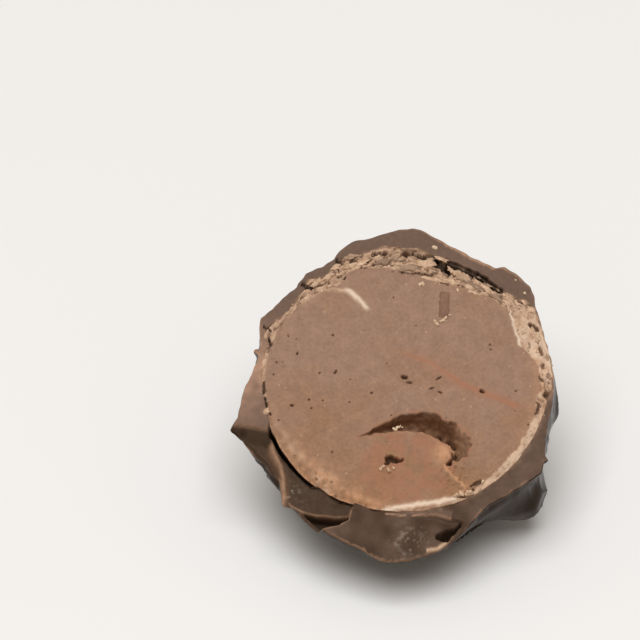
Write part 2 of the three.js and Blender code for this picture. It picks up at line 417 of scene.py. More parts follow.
def spiral(count):
    middles = []
    for i in range(count):
        z = 1 - 2 * (i + 0.5) / count
        turn = i * math.pi * (3 - math.sqrt(5))
        across = math.sqrt(1 - z * z)
        middles.append((across * math.cos(turn) * coat["stretch"], across * math.sin(turn), z))
    return middles


scallopMiddles = spiral(coat["cells"])


def hollowReach(dx, dy, dz):
    wide, deep, rise = hollow["wide"], hollow["deep"], hollow["rise"]
    square = (dx * dx + dy * dy) / wide**2 + (dz / deep) ** 2
    along = dy * rise / wide**2
    return (along + math.sqrt(along**2 + square * (1 - (rise / wide) ** 2))) / square


def scallop(dx, dy, dz, depth):  # height in a bowl, 0 to 1, and how close the crest between two bowls is
    turn = math.radians(coat["twist"] * depth / 90)
    x = dx * math.cos(turn) - dy * math.sin(turn)
    y = dx * math.sin(turn) + dy * math.cos(turn)
    x, y = x * coat["stretch"] + 0.12 * math.sin(3 * y + 1), y + 0.12 * math.sin(3 * dz + 2)
    squares = sorted((x - mx) ** 2 + (y - my) ** 2 + (dz - mz) ** 2 for mx, my, mz in scallopMiddles)
    spacing = 4 * math.pi * coat["stretch"] / coat["cells"]
    return min(1.0, squares[0] / (0.5 * spacing)), math.sqrt(squares[1]) - math.sqrt(squares[0])


def swollen(around, depth):  # how far out the coating stands before its fine relief
    a, d = math.radians(around), math.radians(depth)
    dx, dy, dz = math.cos(a) * math.cos(d), math.sin(a) * math.cos(d), -math.sin(d)
    swell = 0.0
    for middle, deepAt, height, wide, deep in coat["lumps"].values():
        sideways = turnFrom(around, middle) * math.cos(d) / wide
        swell += height * math.exp(-(sideways**2) - ((depth - deepAt) / deep) ** 2)
    height, between = scallop(dx, dy, dz, depth)
    fade = smooth(*coat["fade"], depth)
    return hollowReach(dx, dy, dz) + coat["thin"] + swell + coat["rise"] * fade * height, between, fade


def coatReach(around, depth, rim):  # how far out the coating stands, and the crest's nearness
    far, between, fade = swollen(around, depth)
    edge = rim["outline"] + (rim["soft"] - rim["outline"]) * smooth(0.5, 7, depth)
    far += (edge - rim["plain"]) * (1 - smooth(4, 26, depth))
    a, d = math.radians(around), math.radians(depth)
    x, y, z = far * math.cos(a) * math.cos(d), far * math.sin(a) * math.cos(d), -far * math.sin(d)
    drift = ripple(x / 9, y / 9, z / 9, 33) + 0.35 * ripple(x / 3.5, y / 3.5, z / 3.5, 34)
    crest = bell(between + 0.06 * drift, 0.11) * smooth(-0.45, 0.5, ripple(x / 4, y / 4, z / 4, 4))
    far += fade * (coat["crest"] * crest - coat["rounding"] * bell(between, 0.24))
    fold = (1 - abs(math.sin(1.5 * a + 3.4 * d + 1.3 * drift))) ** 2.5  # where the dipped coating was swirled
    far += coat["fold"] * smooth(3, 22, depth) * (1 - smooth(62, 80, depth)) * (fold - 0.25)
    middle, spread, height = coat["backSwirl"]
    swirl = (1 - abs(math.sin(1.9 * a - 4.6 * d + 1.7 * drift))) ** 2.2
    atBack = height * towards(around, middle, spread) * smooth(5, 18, depth)
    atBack *= 1 - smooth(60, 78, depth)
    far += atBack * (swirl - 0.38)
    uneven = 0.12 * ripple(x / 2.6, y / 2.6, z / 2.6) + 0.02 * ripple(x / 0.9, y / 0.9, z / 0.9, 7)
    far += uneven * (0.2 + 0.8 * fade)
    inner = hollowReach(math.cos(a) * math.cos(d), math.sin(a) * math.cos(d), -math.sin(d))
    return max(far, inner + coat["least"])


def rimOf(around):  # the section's inner and outer edge at one place round the face
    low = smooth(-164.5, -161.5, around) * (1 - smooth(-120, -117, around)) if around < -90 else 0.0
    drop = 0.04 + low * (1.5 - 0.5 * bell(around + 142, 5) + 0.3 * bell(around + 155, 6))
    drop += 0.25 * towards(around, -164.6, 2)
    outline = readRound(coat["outline"], around)[0] + 0.06 * ripple(around / 3, 0, 0, 3)
    soft = sum(readRound(coat["outline"], around + turn)[0] for turn in (-10, -6, -2, 2, 6, 10)) / 6
    gap = 0.45 * smooth(-162, -158, around) * (1 - smooth(-131, -128, around))
    gap += 0.30 * towards(around, -119, 5) + 0.22 * towards(around, -102, 3.5)
    if around > 0:
        gap = 0.0
    clean, start = jointAt(around)
    depth = math.degrees(math.asin(min(drop / outline, 0.9)))
    plain = swollen(around, 0)[0]
    rim = {"drop": drop, "depth": depth, "outline": outline, "soft": soft, "plain": plain}
    return rim | {"gap": gap, "clean": clean, "start": start}


def cleanSection(x, y, around, share):  # the flat part of the section, at the knife's height
    z = 0.05 * onFace(x, y, 4, 6) + 0.015 * onFace(x, y, 0.8, 8)
    low = towards(around, -88, 32)
    z -= 0.3 * low * (1 - share) ** 2
    # Painted shade: the section is painted darker low down and at its lower right.
    sectionShade = max(0.9 * smooth(0.25, 0.7, low), 0.5 * smooth(0.3, 0.7, towards(around, -36, 34)))
    masks = {"sectionShade": sectionShade * (0.75 + 0.35 * onFace(x, y, 1.5, 9)), "dusty": 0.0}
    masks["pink"] = towards(around, 176, 15) * (0.75 + 0.4 * onFace(x, y, 0.9, 10))
    if around > 0 or around < -125:
        return z, masks
    off, passed = nearPath(coat["pleat"], x, y)
    shelf = smooth(-0.05, 0.05, off) * smooth(1.1, 0.5, off) * smooth(1, 0.97, passed)
    shelf *= smooth(0.1, 0.4, passed)
    masks["sectionShade"] *= 1 - 0.8 * shelf
    # A pale line along the pleat's edge, a painted highlight.
    masks["lip"] = bell(off, 0.08) * smooth(-0.9, 0.1, ripple(x / 0.8, 0, 0, 51)) * (0.03 < passed < 0.99)
    z += 0.15 * shelf - 0.4 * bell(off + 0.5, 0.45) * smooth(0.4, 0.9, passed)
    inBubble = toOutline(coat["bubble"], x + 0.15 * onFace(x, y, 0.6, 55), y + 0.15 * onFace(x, y, 0.6, 56))
    bubble = smooth(-0.12, 0.15, inBubble)
    off, passed = nearPath(coat["sliver"], x, y)
    sliver = bell(off, 0.2) * (0.02 < passed < 0.98)
    z += 0.12 * sliver - 2.2 * bubble
    bloomX, bloomY, bloomWide = coat["bloom"]
    ring = bell(math.hypot(x - bloomX, y - bloomY) - bloomWide - 0.2 * ripple(x, y, 0, 52), 0.3)
    ring *= 0.5 * smooth(-0.5, 0.8, ripple(x / 0.6, y / 0.6, 1, 5))
    spots = smooth(0.5, 0.75, ripple(x / 0.2, y / 0.2, 2, 5)) * bell(math.hypot(x - bloomX, y - bloomY), 1.8)
    masks["dusty"] = max(ring, 0.8 * spots)
    masks["crumb"] = sliver
    # The bubble is painted dark inside, painted shade.
    masks["hollow"] = smooth(-0.05, 0.3, inBubble)
    return z, masks


def brokenSection(x, y, share, rim):  # the part of the rim that broke off instead of being cut
    below, _ = nearPath(coat["breakLine"], x, y)
    beside, along = nearPath(coat["tongue"], x, y)
    broken = smooth(-0.06, 0.08, below) * smooth(-0.04, 0.08, -beside)
    if broken <= 0 and below < -0.5:
        return 0.0, 0.0, {}
    ridge, _ = nearPath(coat["ridge"], x, y)
    ledge, _ = nearPath(coat["ledge"], x, y)
    wall = 0.75 + 1.2 * smooth(0.0, 1.3, below) - 0.25 * smooth(0.75, 1.0, share)
    shelf = 1.0 + 0.75 * share
    side = smooth(-0.35, 0.35, ridge)
    deep = wall * (1 - side) + shelf * side
    deep -= (0.75 - 0.45 * smooth(-10, -11.5, y)) * bell(ridge, 0.34)
    outerWide = (1 - share) * (rim["outline"] - rim["start"])
    trench = smooth(0.02, 0.2, -ledge) * smooth(-11.6, -10.9, x) * smooth(0.35, 0.6, outerWide)
    deep = deep * (1 - trench) + 3.0 * trench
    deep += 0.12 * onFace(x, y, 1.8, 2) + 0.04 * onFace(x, y, 0.5, 3)
    # Pale lines along the broken edges are painted highlights; the pinkish ridge is partly its own colour and
    # partly painted highlight.
    edge = bell(beside, 0.13) * smooth(0.12, 0.25, along) * smooth(0.9, 0.75, along)
    edge = max(edge, 0.5 * bell(below, 0.1), 0.6 * bell(ledge, 0.1) * broken * (x > -10.9))
    pinkish = 0.8 * bell(ridge, 0.35) * broken * smooth(-5.4, -6.2, y)
    specks = smooth(0.45, 0.7, onFace(x, y, 0.2, 53)) * bell(math.hypot(x + 10.9, y + 10.6), 1.2)
    masks = {"lip": min(1.0, max(edge, pinkish)), "broken": broken, "dusty": specks}
    # Painted shade: the trench under the ledge and a small pit are painted dark.
    masks["hollow"] = max(trench, bell(math.hypot(x + 15.3, y + 4.55), 0.32)) * broken
    return deep, broken, masks


def shapeCoat():
    bm = bmesh.new()
    names = ("cut", "broken", "lip", "crumb", "dusty", "hollow", "sectionShade", "pink")
    marks = {name: bm.verts.layers.float.new(name) for name in names}
    outer, section, inner = coat["outerRings"], coat["sectionRings"], coat["innerRings"]
    chain = [bm.verts.new((1, 0, ring)) for ring in range(outer + section + inner + 1)]
    links = [bm.edges.new(pair) for pair in zip(chain, chain[1:])]
    steps = coat["aroundSteps"]
    bmesh.ops.spin(
        bm, geom=chain + links, cent=(0, 0, 0), axis=(0, 0, 1), angle=2 * math.pi, steps=steps, use_merge=True
    )
    rims = {}
    for vertex in bm.verts:
        ring = round(vertex.co.z)
        turn = math.degrees(math.atan2(vertex.co.y, vertex.co.x))
        around = turnFrom(turn + math.degrees(coat["crowding"] * math.sin(math.radians(turn - 80))), 0)
        key = round(around, 3)
        if key not in rims:
            rims[key] = rimOf(around)
        rim = rims[key]
        a = math.radians(around)
        heading = Vector((math.cos(a), math.sin(a), 0))
        middle = Vector((0, hollow["rise"], 0))
        masks = {}
        if ring < outer:  # the outside, from the bottom of the dome up to the rim
            share = ring / outer
            depth = rim["depth"] + (90 - rim["depth"]) * (1 - share)
            far = coatReach(around, depth, rim)
            far += (rim["outline"] - far) * smooth(0.965, 1.0, share)
            d = math.radians(depth)
            vertex.co = (heading * math.cos(d) + Vector((0, 0, -math.sin(d)))) * far
            # Just below the rim the outside is painted paler, a painted highlight on the rim's edge.
            masks = {"lip": 0.5 * smooth(0.985, 1.0, share)}
        elif ring <= outer + section:
            share = 1 - (ring - outer) / section
            start = middle + heading * (rim["start"] + rim["gap"])
            place = start + (heading * rim["outline"] - start) * share
            x, y = place.x, place.y
            z, masks = cleanSection(x, y, around, share)
            if not rim["gap"]:
                toMiddle = (place - middle).length
                dz, tornAndShade = tornJoint(x, y, around, toMiddle, rim["clean"], rim["start"])
                z += dz
                for name, value in tornAndShade.items():
                    if name in marks:
                        masks[name] = max(masks.get(name, 0.0), value)
            if around < -90:
                deep, broken, more = brokenSection(x, y, share, rim)
                z = z * (1 - broken) - deep * broken
                masks["sectionShade"] *= 1 - broken
                for name, value in more.items():
                    masks[name] = max(masks.get(name, 0.0), value)
            last = smooth(0.95, 1.0, share)
            z = z * (1 - last) - rim["drop"] * last
            thick = rim["outline"] - rim["start"]
            # The pale fringe at the outer edge is partly the chipped edge's own colour and partly painted
            # highlight; the inner edge is painted paler too.
            fringe = max(0.06, 0.20 + 0.18 * ripple(around / 1.5, 0, 0, 54))
            fringe += 0.4 * towards(around, 62, 22)
            amount = max(towards(around, 65, 24), towards(around, 168, 18))
            amount = max(amount, 0.6 * towards(around, -100, 18))
            amount = max(amount, 0.4 * smooth(-0.2, 0.6, ripple(around / 5, 0, 0, 57)))
            edge = amount * smooth(fringe, 0.2 * fringe, (1 - share) * thick)
            inward = max(0.08, 0.3 + 0.3 * ripple(around / 2.5, 0, 0, 58))
            edge = max(edge, 0.38 * smooth(inward, 0.0, share * thick) * (around > -100) * (1 - masks["sectionShade"]))
            masks["lip"] = max(masks.get("lip", 0.0), edge)
            masks["cut"] = 1.0 - smooth(0.99, 1.0, share)
            vertex.co = (x, y, z)
        else:  # the inside wall
            share = (ring - outer - section) / inner
            d = math.pi / 2 * share**1.6
            dx, dy, dz = math.cos(a) * math.cos(d), math.sin(a) * math.cos(d), -math.sin(d)
            far = hollowReach(dx, dy, dz) + 0.02
            edge = rim["start"] + rim["gap"] - hollow["wide"]
            vertex.co = Vector((dx, dy, dz)) * (far + edge * math.cos(d) ** 12)
            # The inside wall is painted dark, painted shade in the gap round the ganache.
            masks = {"cut": 1.0, "hollow": 1.0, "broken": 1.0}
        height = (vertex.co - tableLevel).dot(tableUp)
        if height < 0:
            vertex.co -= tableUp * height
        for name, value in masks.items():
            vertex[marks[name]] = value
    bmesh.ops.remove_doubles(bm, verts=bm.verts, dist=1e-4)
    bmesh.ops.recalc_face_normals(bm, faces=bm.faces)
    return bm


def coatMaterial():
    material, tree, shader = newMaterial("darkChocolate", 0.4, 0.08)
    shader.inputs["Specular Tint"].default_value = (0.95, 0.78, 0.62, 1)
    place = inMillimetres(tree)
    patches = useGroup(tree, mottle, Vector=place, Size=4.0, Contrast=1.0)
    fine = useGroup(tree, mottle, Vector=place, Size=0.5, Contrast=0.8)
    outside = mixColours(tree, patches, *coat["outsideColours"])
    cutFace = mixColours(tree, patches, *coat["cutColours"])
    cutFace = mixColours(tree, mark(tree, "pink"), cutFace, (0.46, 0.27, 0.185, 1))
    # Painted shade, darker low on the section.
    cutFace = mixColours(tree, mark(tree, "sectionShade"), cutFace, (0.055, 0.031, 0.019, 1))
    shade = stretched(tree, fine, 0.0, 1.0, 0.86, 1.12)
    cutFace = mixColours(tree, 1.0, cutFace, shade, "MULTIPLY")
    colour = mixColours(tree, mark(tree, "cut"), outside, cutFace)
    colour = mixColours(tree, mark(tree, "broken"), colour, (0.070, 0.042, 0.027, 1))
    dusty = times(tree, mark(tree, "dusty"), stretched(tree, fine, 0.3, 0.7))
    colour = mixColours(tree, dusty, colour, (0.33, 0.27, 0.22, 1))
    # The lip colour: the chipped edge's own pale colour, and painted highlights along edges.
    lipTintAndHighlight = times(tree, mark(tree, "lip"), stretched(tree, fine, 0.1, 0.6, 0.35, 1.0))
    colour = mixColours(tree, lipTintAndHighlight, colour, (0.44, 0.255, 0.16, 1))
    colour = mixColours(tree, times(tree, mark(tree, "crumb"), 0.9), colour, crumbColour(tree, place))
    # Painted shade in cracks, gaps, the bubble and on the inside wall.
    colour = mixColours(tree, mark(tree, "hollow"), colour, (0.032, 0.018, 0.010, 1))
    tree.links.new(colour, shader.inputs["Base Color"])
    grain = stretched(tree, mark(tree, "cut"), 0.0, 1.0, 0.25, 1.0)  # the cut is grainier than the outside
    rough = maths(tree, "ADD", times(tree, mark(tree, "cut"), 0.22), times(tree, patches, 0.14))
    tree.links.new(maths(tree, "ADD", rough, 0.14), shader.inputs["Roughness"])
    tree.links.new(bumped(tree, times(tree, fine, grain), 0.035), shader.inputs["Normal"])
    return material


# --- The ganache: pale, dense and matt, with pores and a torn crescent

filling = {
    "gridSteps": 286,
    "wallRings": 8,
    "sunkAt": (-131, 24),  # where its rim is rounded off: heading and spread
    "colours": ((0.330, 0.193, 0.131, 1), (0.315, 0.162, 0.080, 1)),  # the second is warmer, lower down
    "tearTop": (
        (-4.4, -5.45), (-2.85, -4.4), (-1.3, -3.6), (0.05, -3.0), (1.8, -2.8), (3.1, -3.0), (3.9, -3.75),
        (4.75, -3.9), (5.35, -4.7), (6.15, -5.35), (6.3, -6.35), (5.9, -7.15), (4.95, -7.65), (4.2, -8.2),
    ),
    "lumpEdge": (
        (4.05, -8.1), (4.45, -7.5), (4.65, -6.85), (4.15, -6.2), (2.85, -5.5), (1.8, -4.85), (0.2, -4.75),
        (-1.15, -4.8), (-2.8, -4.9),
    ),
    "ridge": ((3.9, -8.0), (4.1, -8.5), (4.7, -9.3), (5.9, -10.3), (5.9, -11.0), (5.2, -11.4)),
    "pits": ((3.4, -5.0, 0.22), (4.05, -5.5, 0.2), (4.4, -5.8, 0.22), (4.7, -6.15, 0.16), (4.8, -7.0, 0.16)),
    "pores": (  # x, y, half length, half width, turn, depth
        (0.1, 0.85, 0.42, 0.2, -12, 0.5), (0.5, 0.3, 0.28, 0.12, -5, 0.2),
        (7.4, -0.6, 0.26, 0.17, -20, 0.45), (3.3, 0.75, 0.4, 0.1, 35, 0.1), (2.6, -0.3, 0.3, 0.1, 20, 0.1),
        (3.4, -0.7, 0.28, 0.1, -30, 0.12), (-3.1, -0.75, 0.12, 0.1, 0, 0.2),
        (-6.5, 1.4, 0.24, 0.1, 62, 0.25), (-9.0, -1.5, 0.11, 0.1, 0, 0.2),
        (-8.75, -2.4, 0.12, 0.1, 0, 0.2), (-10.6, -2.1, 0.18, 0.12, 10, 0.3),
        (-10.1, 3.3, 0.22, 0.08, 75, 0.2), (-6.75, 5.2, 0.12, 0.1, 0, 0.2), (8.2, 4.2, 0.1, 0.09, 0, 0.18),
        (8.25, 3.7, 0.09, 0.09, 0, 0.18), (-1.25, -7.6, 0.62, 0.33, -8, 0.8),
        (-0.45, -7.75, 0.5, 0.2, 20, 0.6), (-1.6, -8.0, 0.3, 0.2, 40, 0.5),
        (-12.1, 2.4, 0.1, 0.08, 0, 0.2), (-12.35, 1.1, 0.12, 0.08, 40, 0.2),
        (-11.5, 2.4, 0.09, 0.07, 0, 0.15), (-8.0, 1.25, 0.1, 0.07, 60, 0.18),
        (-5.2, -1.7, 0.09, 0.08, 0, 0.15), (-7.7, -1.6, 0.09, 0.08, 0, 0.15),
        (-1.6, 2.3, 0.08, 0.08, 0, 0.15), (-6.8, -6.9, 0.12, 0.08, 30, 0.2),
        (-11.9, -3.6, 0.1, 0.08, 0, 0.2), (-11.0, 5.1, 0.11, 0.07, 50, 0.15),
        (10.6, -0.6, 0.1, 0.08, 0, 0.15), (-1.0, 9.1, 0.11, 0.06, 60, 0.12),
        (1.15, 6.2, 0.08, 0.07, 0, 0.12),
    ),
    "groove": ((3.95, 9.7), (3.9, 8.4), (3.75, 7.0)),  # a shallow scrape of the knife
    # pale smears of cocoa butter: half width, height, then the points they run through
    "smears": (
        (0.22, 0.10, (-5.4, 9.9), (-4.75, 9.4), (-4.0, 8.6), (-3.45, 7.95)),
        (0.14, 0.03, (10.05, 8.0), (10.5, 6.1), (11.1, 4.05)),
        (0.26, 0.08, (-1.9, -12.8), (-0.8, -12.6), (1.1, -12.3), (3.2, -12.0), (5.0, -11.65)),
    ),
    "tanArc": ((-9.6, 8.45), (-8.6, 9.3), (-7.7, 9.95), (-6.6, 9.9), (-5.4, 9.7)),
    "blush": ((-0.6, 3.6), (2.6, 2.3), (5.5, 0.2), (10.5, -2.1)),
}
tearOutline = filling["tearTop"] + filling["lumpEdge"]


def tearShape(x, y):  # height change and masks of the crescent tear and of the lump below it
    if math.hypot(x - 1.2, y + 8.2) > 6.5:
        return 0.0, {}
    ragged = 0.10 + 0.16 * smooth(3.2, 5.0, x)
    wx, wy = x + ragged * onFace(x, y, 0.5, 11), y + ragged * onFace(x, y, 0.5, 12)
    within = toOutline(tearOutline, wx, wy)
    inside = smooth(-0.04, 0.07, within)
    upper = abs(nearPath(filling["tearTop"], wx, wy)[0])
    lower, _ = nearPath(filling["lumpEdge"], wx, wy)
    z, masks = 0.0, {}
    if inside > 0:
        share = upper / (upper + abs(lower) + 0.01)
        deep = 0.45 + 0.95 * smooth(-4, 0.5, x) - 0.85 * smooth(4.2, 5.7, x)
        z = -deep * (0.25 + 0.75 * smooth(0.0, 0.7, share)) * inside
        z += (0.16 * onFace(x, y, 0.9, 13) + 0.09 * onFace(x, y, 0.3, 14)) * inside
        pale = 0.5 * smooth(0.3, 0.7, share) * smooth(-0.6, 0.5, onFace(x, y, 0.8, 20))
        # The tear's darker reddish torn colour, partly painted shade on its sunken slope.
        masks["tornAndShade"] = inside * (1.0 - pale) * (1 - 0.55 * smooth(4.2, 5.4, x))
        pit = max(bell(math.hypot(wx - px, wy - py), wide) for px, py, wide in filling["pits"])
        z -= 0.5 * pit * inside
        # Painted shade in the pits of the tear.
        masks["hollow"] = pit * inside
    onLump = smooth(0.02, -0.12, within) * smooth(0.7, 0.0, math.hypot(x - 0.3, y + 9.0) - 4.1)
    z += onLump * (0.2 * bell(lower, 0.5) + 0.06 * onFace(x, y, 0.7, 15) + 0.035 * onFace(x, y, 0.3, 16))
    masks["blush"] = 0.75 * onLump * smooth(-0.9, 0.8, onFace(x, y, 0.9, 17))
    reddish = 0.8 * bell(within + 0.12, 0.13) * smooth(-0.6, 0.4, onFace(x, y, 0.5, 32))
    masks["blush"] = max(masks["blush"], reddish)
    masks["warm"] = 0.75 * onLump * bell(lower + 0.18, 0.34) * smooth(-0.6, 0.4, onFace(x, y, 0.7, 19))
    blob = bell(math.hypot(x - 3.7, (y + 7.05) / 1.15), 0.85) * (1 - inside)
    z += 0.32 * blob + 0.06 * blob * onFace(x, y, 0.35, 18)
    masks["warm"] = max(masks["warm"], 0.9 * blob)
    off, passed = nearPath(filling["ridge"], wx, wy)
    step = 0.2 * smooth(0.05, -0.12, off) * smooth(-1.6, -0.2, off) * smooth(0, 0.1, passed)
    step *= smooth(1, 0.9, passed)
    z += step * (1 - inside) - 0.12 * bell(off - 0.25, 0.25) * (1 - inside)
    masks["warm"] = max(masks["warm"], 0.8 * bell(off + 0.12, 0.2) * (1 - inside) * smooth(0, 0.1, passed))
    return z, masks


def sunkRim(around):  # the rounded rim low on the left, where the coating broke away
    return towards(around, *filling["sunkAt"])


def ganacheHeight(x, y):
    rise = hollow["rise"]
    far = math.hypot(x, y - rise)
    around = math.degrees(math.atan2(y - rise, x))
    clean, start = jointAt(around)
    marks = {"crumb": 0.0, "warm": 0.0, "smearAndHighlight": 0.0, "hollow": 0.0, "blush": 0.0, "tornAndShade": 0.0}
    z = 0.07 * onFace(x, y, 5, 1) + 0.03 * onFace(x, y, 1.3, 2) + 0.020 * onFace(x, y, 0.35, 3)

    def lay(masks):
        for name, value in masks.items():
            marks[name] = max(marks[name], value)

    low = sunkRim(around)
    if far > clean - 0.3 or (far > 10 and -75 < around < 40):
        dz, masks = tornJoint(x, y, around, far, clean, start)
        z += dz * (1 - low)
        masks["crumb"] *= 1 - low
        masks["smearAndHighlight"] *= 0.62
        lay(masks)
    dz, masks = tearShape(x, y)
    z += dz
    lay(masks)
    for poreX, poreY, long, wide, turn, deep in filling["pores"]:
        px, py = x - poreX, y - poreY
        if abs(px) < 1 and abs(py) < 1:
            c, s = math.cos(math.radians(turn)), math.sin(math.radians(turn))
            wave = 0.12 + 0.4 * long
            size = math.hypot((px * c + py * s) / long, (py * c - px * s) / wide)
            size += 0.35 * ripple(x / wave, y / wave, 0, 5)
            pore = smooth(1.15, 0.6, size)
            z -= deep * pore
            # Pores are painted dark inside, painted shade.
            lay({"tornAndShade": pore, "hollow": 0.6 * pore * pore})
    off, passed = nearPath(filling["groove"], x, y)
    groove = smooth(0.52, 0.38, abs(off) + 0.09 * onFace(x, y, 0.6, 61)) * (0.02 < passed < 0.98)
    z -= 0.2 * groove
    lay({"tornAndShade": (0.34 + 0.12 * passed) * groove})
    for half, high, *points in filling["smears"]:
        if abs(x - points[1][0]) < 7 and abs(y - points[1][1]) < 3.5:
            off, passed = nearPath(points, x, y)
            smearAndHighlight = bell(off + 0.08 * onFace(x, y, 0.5, 62), half) * (1.0 if 0.01 < passed < 0.99 else 0.6)
            z += high * smearAndHighlight
            lay({"smearAndHighlight": smearAndHighlight})
    off, passed = nearPath(filling["tanArc"], x, y)
    arc = bell(off + 0.1 * onFace(x, y, 0.4, 63), 0.22) * (0.6 + 0.4 * passed)
    z += 0.12 * arc
    lay({"crumb": 0.85 * arc})
    off, passed = nearPath(filling["blush"], x, y)
    streak = smooth(-0.5, 0.7, ripple(x / 2.2, (y + 0.5 * x) / 0.4, 0, 42))
    lay({"blush": (0.75 * bell(off, 0.25) + 0.45 * streak * bell(off, 0.7)) * smooth(-0.1, 0.25, passed)})
    toEdge = start - far
    rimWide = 0.3 + 1.0 * low
    z -= (0.04 + 0.95 * low) * (1 - smooth(0.0, rimWide, toEdge)) ** 1.6
    rim = smooth(rimWide + 0.9, rimWide - 0.5, toEdge + 0.35 * onFace(x, y, 0.9, 43))
    toRight = towards(around, 8, 30) * smooth(2.6, 0.6, toEdge)
    rim *= 0.62 + 0.5 * onFace(x, y, 0.55, 49)
    z += 0.07 * rim * low * onFace(x, y, 0.4, 50)
    lay({"warm": max(rim * (0.72 * low + 0.7 * towards(around, -106, 12)), 0.30 * toRight)})
    crumbly = bell(math.hypot((x - 4.5) / 1.5, (y + 9.0) / 2.1), 1.0)  # torn ground beside the lump
    z += 0.11 * crumbly * onFace(x, y, 0.42, 48)
    lay({"tornAndShade": 0.55 * crumbly * smooth(0.35, 0.75, onFace(x, y, 0.42, 51))})
    patch = bell(math.hypot((x + 8.4) / 1.9, (y + 10.2) / 1.3), 1.0)
    patch *= smooth(-0.6, 0.2, onFace(x, y, 0.6, 45))
    patch *= smooth(1.9, 1.2, toEdge)
    z += 0.16 * patch * onFace(x, y, 0.35, 46)
    # Dark pits in the crumbly patch are painted shade.
    pit = patch * smooth(0.45, 0.75, onFace(x, y, 0.4, 47))
    z -= 0.2 * pit
    # A pale band on the rounded rim low on the left, a painted highlight.
    smearAndHighlight = 0.25 * rim * towards(around, -148, 12) * bell(toEdge - 0.9, 0.5)
    lay({"crumb": patch * (1 - pit), "tornAndShade": 0.8 * pit, "smearAndHighlight": smearAndHighlight})
    return z, marks


def shapeGanache():
    bm = bmesh.new()
    names = ("crumb", "warm", "smearAndHighlight", "hollow", "blush", "tornAndShade")
    layers = {name: bm.verts.layers.float.new(name) for name in names}
    steps = filling["gridSteps"]
    bmesh.ops.create_grid(bm, x_segments=steps, y_segments=steps, size=1)
    for vertex in bm.verts:  # the square grid is rounded into a disc
        u, v, _ = vertex.co
        x, y = u * math.sqrt(1 - v**2 / 2), v * math.sqrt(1 - u**2 / 2)
        reach = jointAt(math.degrees(math.atan2(y, x)))[1] + 0.03
        x, y = x * reach, y * reach + hollow["rise"]
        z, marks = ganacheHeight(x, y)
        vertex.co = (x, y, z)
        for name, value in marks.items():
            vertex[layers[name]] = min(1.0, value)
    loop = [edge for edge in bm.edges if edge.is_boundary]
    for ring in range(1, filling["wallRings"] + 1):
        made = bmesh.ops.extrude_edge_only(bm, edges=loop)["geom"]
        loop = [part for part in made if isinstance(part, bmesh.types.BMEdge) and part.is_boundary]
        depth = math.radians(88 * (ring / filling["wallRings"]) ** 2)
        for vertex in {vertex for edge in loop for vertex in edge.verts}:
            a = math.atan2(vertex.co.y - hollow["rise"], vertex.co.x)
            far = (jointAt(math.degrees(a))[1] + 0.03) * math.cos(depth)
            low = -hollow["deep"] * math.sin(depth)
            edgeHeight = -0.9 * sunkRim(math.degrees(a))
            z = min(low, edgeHeight - 0.2 * ring)
            vertex.co = (far * math.cos(a), far * math.sin(a) + hollow["rise"], z)
    tip = {vertex for edge in loop for vertex in edge.verts}
    bmesh.ops.pointmerge(bm, verts=list(tip), merge_co=(0, hollow["rise"], -hollow["deep"]))
    bmesh.ops.recalc_face_normals(bm, faces=bm.faces)
    return bm


def ganacheMaterial():
    material, tree, shader = newMaterial("milkGanache", 0.7, 0.25)
    place = inMillimetres(tree)
    patches = useGroup(tree, mottle, Vector=place, Size=6.0, Contrast=1.8)
    streaks = useGroup(tree, mottle, Vector=place, Size=1.3, Contrast=1.2)
    fine = useGroup(tree, mottle, Vector=place, Size=0.35, Contrast=1.0)
    height = addNode(tree, "ShaderNodeSeparateXYZ", {0: place}).outputs[1]
    warmth = maths(tree, "SUBTRACT", stretched(tree, height, -13.0, 8.0, 1.2, 0.45), patches, clamp=True)
    colour = mixColours(tree, warmth, *filling["colours"])
    shade = stretched(tree, streaks, 0.2, 0.8, 0.92, 1.07)
    colour = mixColours(tree, 1.0, colour, shade, "MULTIPLY")
    shade = stretched(tree, fine, 0.0, 1.0, 0.84, 1.13)
    colour = mixColours(tree, 1.0, colour, shade, "MULTIPLY")
    pores = useGroup(tree, specks, Vector=place, Spacing=1.3, Radius=0.08, Share=0.22)
    grains = useGroup(tree, specks, Vector=place, Spacing=0.7, Radius=0.09, Share=0.35)
    colour = mixColours(tree, times(tree, grains, 0.35), colour, (0.66, 0.46, 0.31, 1))
    colour = mixColours(tree, mark(tree, "blush"), colour, (0.37, 0.165, 0.092, 1))
    colour = mixColours(tree, times(tree, mark(tree, "crumb"), 0.9), colour, crumbColour(tree, place))
    colour = mixColours(tree, mark(tree, "warm"), colour, (0.62, 0.32, 0.17, 1))
    # Pale cocoa-butter smears, and the painted highlight on the rim low on the left.
    colour = mixColours(tree, mark(tree, "smearAndHighlight"), colour, (0.80, 0.62, 0.47, 1))
    # Dark specks where the bump sinks small pores, painted shade.
    colour = mixColours(tree, times(tree, pores, 0.8), colour, (0.09, 0.04, 0.02, 1))
    # Darker torn ganache in the tear and the crumbly ground, and painted shade in pores and pits.
    colour = mixColours(tree, mark(tree, "tornAndShade"), colour, (0.105, 0.040, 0.015, 1))
    # Painted shade in cracks, pits and pores.
    colour = mixColours(tree, mark(tree, "hollow"), colour, (0.030, 0.013, 0.007, 1))
    tree.links.new(colour, shader.inputs["Base Color"])
    relief = maths(tree, "SUBTRACT", fine, times(tree, pores, 3.0))
    tree.links.new(bumped(tree, relief, 0.055), shader.inputs["Normal"])
    return material


# --- Flakes and crumbs

